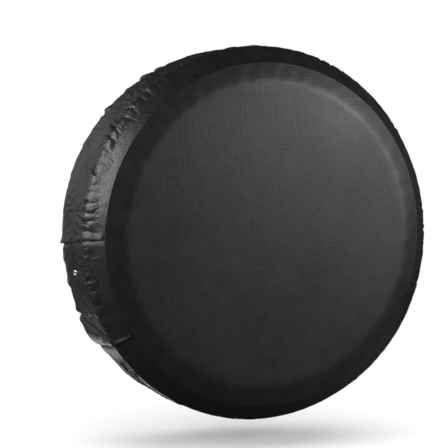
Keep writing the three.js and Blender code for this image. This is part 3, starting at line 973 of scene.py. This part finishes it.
# Tapes inside the seams
binding = Panel(BINDING_LINE, 1.2, 720)
edge_tape = grid_piece("edge_tape", binding.grid(), around(binding, 326), binding.place)
weld(edge_tape)
band = Panel(SEAM_TAPE_LINE, 1.5, 1440)
seam_tape = grid_piece("seam_tape_band", band.grid(), around(band, 367), band.place)
weld(seam_tape)
along_tape = np.linspace(14, 252, 160)[:, None]
across_tape = np.array([-6, -4.5, -3, -1.5, -0.4, 0.4, 1.5, 3, 4.5, 6])[None, :]
closing_line = np.interp(along_tape, skirt.place[:, 0], skirt.first)
tape_points = skirt.at(closing_line + across_tape / ARC_MM, along_tape, -2.1)
cross_tape = grid_piece("closing_tape_band", tape_points, across_tape, along_tape)
for piece, node in (
    (edge_tape, "edge_binding"),
    (seam_tape, "seam_tape"),
    (cross_tape, "closing_tape"),
):
    add_piece(piece, node, "woven_tape", TAPE, TAPE)
    thicken(piece, TAPE_MM * MM)

# ---------------------------------------------------------------- stitches

STITCH_MM = 3.7
PITCH_MM = 4.7
THREAD_MM = 0.75


def ring_of_stitches(name, node, panel, place, radius):
    count = round(2 * math.pi * radius / PITCH_MM)
    angle = CLOSING_ANGLE + np.arange(count) * 360 / count
    run = STITCH_MM / radius * 180 / math.pi
    starts = panel.at(angle, place)
    ends = panel.at(angle + run, place)
    outward = panel.outward(angle + run / 2, place)
    return add_piece(stitch_row(name, starts, ends, outward, THREAD_MM * MM), node, "thread", THREAD)


ring_of_stitches("topstitches_front", "topstitch_front", strip, -2.4, CROWN_MM)
ring_of_stitches("topstitches_rear", "topstitch_rear", skirt, 2.4, CROWN_MM)
ring_of_stitches("hem_stitches", "hem_stitch", casing, 4.6, 245)

# The closing seam's stitches show only on its inner side
down = np.arange(18, 246, PITCH_MM)
stitch_angle = np.interp(down, skirt.place[:, 0], skirt.first) + 4 / ARC_MM
down_starts = skirt.at(stitch_angle, down, -2.6)
down_ends = skirt.at(stitch_angle, down + STITCH_MM, -2.6)
inward = -skirt.outward(stitch_angle, down)
closing_row = stitch_row("closing_stitches", down_starts, down_ends, inward, THREAD_MM * MM)
add_piece(closing_row, "closing_stitch", "thread", THREAD)

# ---------------------------------------------------------------- eyelets


def rolled_eyelet(name, node, place, outward, bore, flange, depth):
    """A pressed metal eyelet: a barrel through the cloth and a rolled, domed flange outside."""
    rim = flange - bore
    line = [
        (bore + 0.5, -depth), (bore, -depth + 0.3), (bore, 0), (bore + 0.12 * rim, 0.75),
        (bore + 0.35 * rim, 1.15), (bore + 0.62 * rim, 1.1), (bore + 0.86 * rim, 0.7),
        (flange, 0.15), (flange - 0.25, 0), (bore + 0.6, 0),
    ]
    sides = 48
    turn = np.linspace(0, 2 * math.pi, sides, endpoint=False)
    radius, height = np.array(line).T[:, :, None]
    flat = np.broadcast_arrays(radius * np.cos(turn), radius * np.sin(turn), height)
    points = np.stack(flat, -1).reshape(-1, 3) * MM
    stand = Vector(outward).to_track_quat("Z", "Y").to_matrix()
    placed = np.array([stand @ Vector(p) + Vector(place) for p in points.tolist()])
    piece = mesh_piece(name, placed, ring_quads(len(line), sides), 50)
    return add_piece(piece, node, "nickel", NICKEL)


for side, angle in zip(("left", "right"), DRAIN_ANGLES):
    outward = (math.cos(math.radians(angle)), -0.22, math.sin(math.radians(angle)))
    place = skirt.at(angle, EYELET_PLACE, 0.7)
    rolled_eyelet(
        f"drain_grommet_{side}", f"drain_eyelet_{side}", place, outward, bore=2.3, flange=6, depth=3
    )
    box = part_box(f"cord_eyelet_{side}")
    place = ((box[0].x + box[1].x) / 2, 114.9 * MM, (box[0].z + box[1].z) / 2)
    rolled_eyelet(
        f"cord_grommet_{side}", f"cord_eyelet_{side}", place, (0, 1, 0), bore=3.2, flange=6, depth=2.4
    )

# ---------------------------------------------------------------- elastic and cord lock

HEM_MM = 111
RING_MM = 231
LOCK_Y = 126.5
LOCK_Z = -262
ring_turn = np.radians(0.15 + 7.2 * np.arange(24))
ring_route = [(RING_MM * math.sin(t), HEM_MM, RING_MM * math.cos(t)) for t in ring_turn]
loop_route = [
    (20, HEM_MM, -230.3), (14.5, HEM_MM, -230.9), (12, 111.4, -231.2), (10.3, 112.7, -231.4),
    (9.6, 114.8, -231.5), (9.3, 117.4, -231.8), (8.9, 120.6, -233.4), (7.9, 123.6, -237),
    (6, 125.6, -242.5), (3.6, 126.4, -248.5), (2.1, LOCK_Y, -252.8), (1.8, LOCK_Y, -255),
    (1.8, LOCK_Y, -273), (1.8, LOCK_Y, -291), (2.6, LOCK_Y, -296), (4.8, LOCK_Y, -302),
    (6, LOCK_Y, -308), (5.2, LOCK_Y, -313), (2.9, LOCK_Y, -316.6),
]
half_route = ring_route + loop_route
route = half_route + [(0, LOCK_Y, -317.8)] + [(-x, y, z) for x, y, z in reversed(half_route)]
elastic_points, _ = through(route, 2)
elastic = tube_piece("elastic_loop", elastic_points * MM, 1.5 * MM, 12)
add_piece(elastic, "hem_elastic", "elastic_cord", CORD)

# The spring inside the lock body: the button pushes it towards the body's closed end
SPRING_START = -10.65
SPRING_END = -6.15
SPRING_MM = 4.4
SPRING_TURNS = 3
spring_step = np.linspace(0, 1, SPRING_TURNS * 24 + 1)
spring_turn = 2 * math.pi * SPRING_TURNS * spring_step
spring_points = np.column_stack([
    SPRING_START + (SPRING_END - SPRING_START) * spring_step,
    LOCK_Y + SPRING_MM * np.cos(spring_turn),
    LOCK_Z + SPRING_MM * np.sin(spring_turn),
])
spring = tube_piece("lock_spring", spring_points * MM, 0.25 * MM, 8)
add_piece(spring, "cord_lock_spring", "steel", STEEL, body="cord_lock")
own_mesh(spring)

# CAD pieces that are shown as they are, with a material from here
CARRIED = {
    NICKEL: ["drain_washer_left", "drain_washer_right"],
    PLASTIC: ["cord_lock_body", "cord_lock_button"],
    STEEL: ["elastic_ferrule"],
}
for material, names in CARRIED.items():
    for name in names:
        node = bpy.data.objects[name]
        node.data.materials.clear()
        node.data.materials.append(material)
